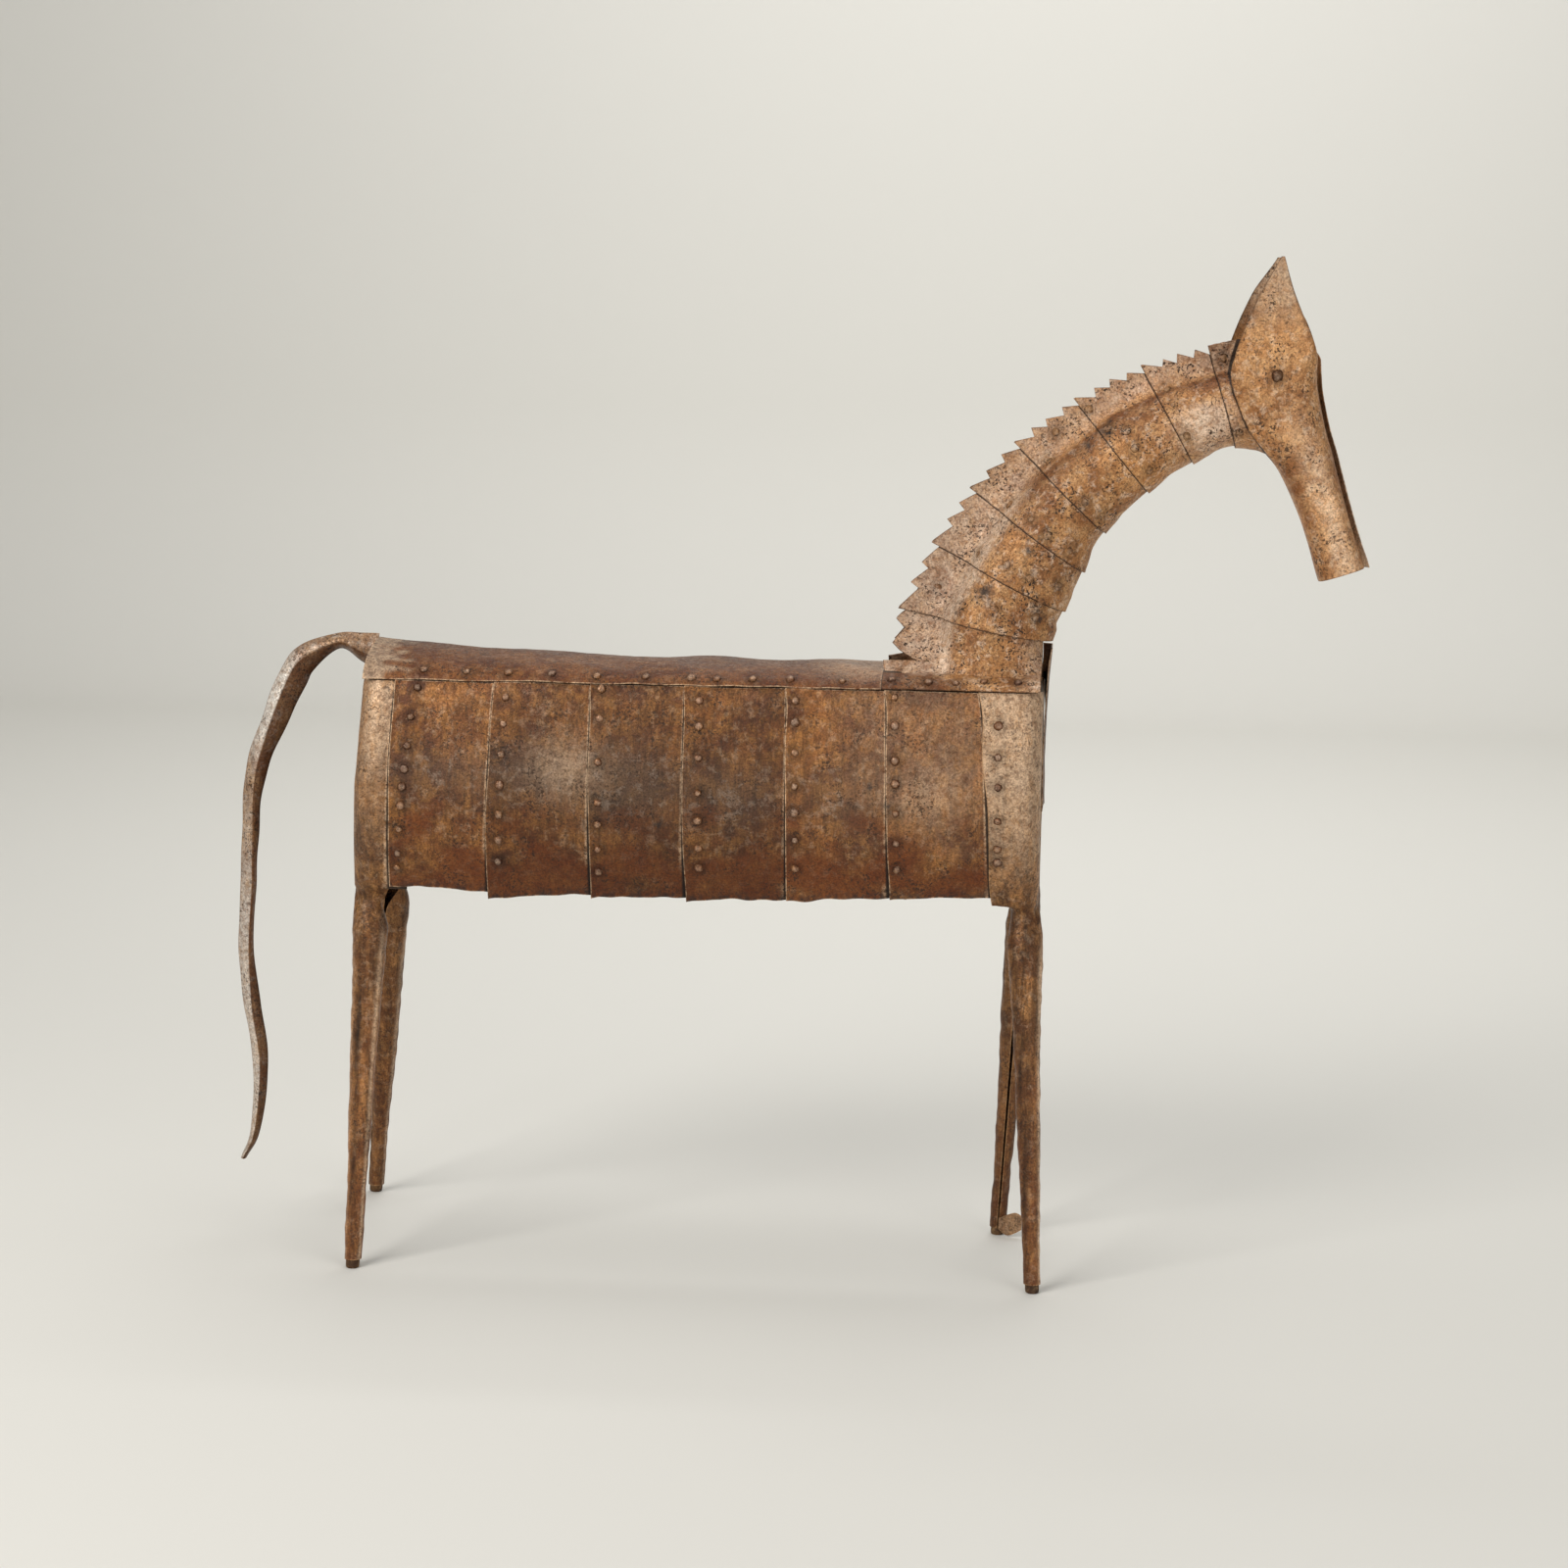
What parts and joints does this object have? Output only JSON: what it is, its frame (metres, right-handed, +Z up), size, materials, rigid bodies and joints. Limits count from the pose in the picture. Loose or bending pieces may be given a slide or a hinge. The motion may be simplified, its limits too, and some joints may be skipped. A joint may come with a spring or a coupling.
{
  "type": "standing sheet-metal horse statue",
  "caption": "Free-standing horse of bent and riveted sheet iron: long box-like body, rolled straight legs, banded arched neck with saw-tooth mane, narrow drooping head and strip tail",
  "frame": {"origin": "centre of the bounding box in plan, on the floor that the feet stand on", "axes": "+X toward the head, along the body; +Y to the far side of the picture; +Z up"},
  "size_m": [1.427, 0.3716, 1.2702],
  "materials": {
    "body_iron": "lacquered red-brown rust over bent sheet iron, satin",
    "leg_iron": "tan-brown worn rust, long streaks down the rolled sheet",
    "neck_iron": "light tan rust with dark pitting, greyer on the crest",
    "head_iron": "light tan rust, fine dark pitting",
    "tail_iron": "tan rust with a worn silvery edge",
    "foot_iron": "dull dark brown",
    "rivet_iron": "dark brown hammered dome"
  },
  "bodies": {
    "root": {"chest_sheet": "body_iron", "eye_rivet_far": "rivet_iron", "eye_rivet_near": "rivet_iron", "foot_far_front": "foot_iron", "foot_far_hind": "foot_iron", "foot_near_front": "foot_iron", "foot_near_hind": "foot_iron", "foot_scrap": "leg_iron", "head_far": "head_iron", "head_near": "head_iron", "leg_far_front": "leg_iron", "leg_far_hind": "leg_iron", "leg_near_front": "leg_iron", "leg_near_hind": "leg_iron", "neck_band_1": "neck_iron", "neck_band_2": "neck_iron", "neck_band_3": "neck_iron", "neck_band_4": "neck_iron", "neck_band_5": "neck_iron", "neck_band_6": "neck_iron", "neck_band_7": "neck_iron", "neck_base_far": "neck_iron", "neck_base_near": "neck_iron", "rump_sheet": "body_iron", "side_panel_far_1": "body_iron", "side_panel_far_2": "body_iron", "side_panel_far_3": "body_iron", "side_panel_far_4": "body_iron", "side_panel_far_5": "body_iron", "side_panel_far_6": "body_iron", "side_panel_near_1": "body_iron", "side_panel_near_2": "body_iron", "side_panel_near_3": "body_iron", "side_panel_near_4": "body_iron", "side_panel_near_5": "body_iron", "side_panel_near_6": "body_iron", "spine_sheet": "body_iron", "tail_strip": "tail_iron"}
  },
  "joints": []
}
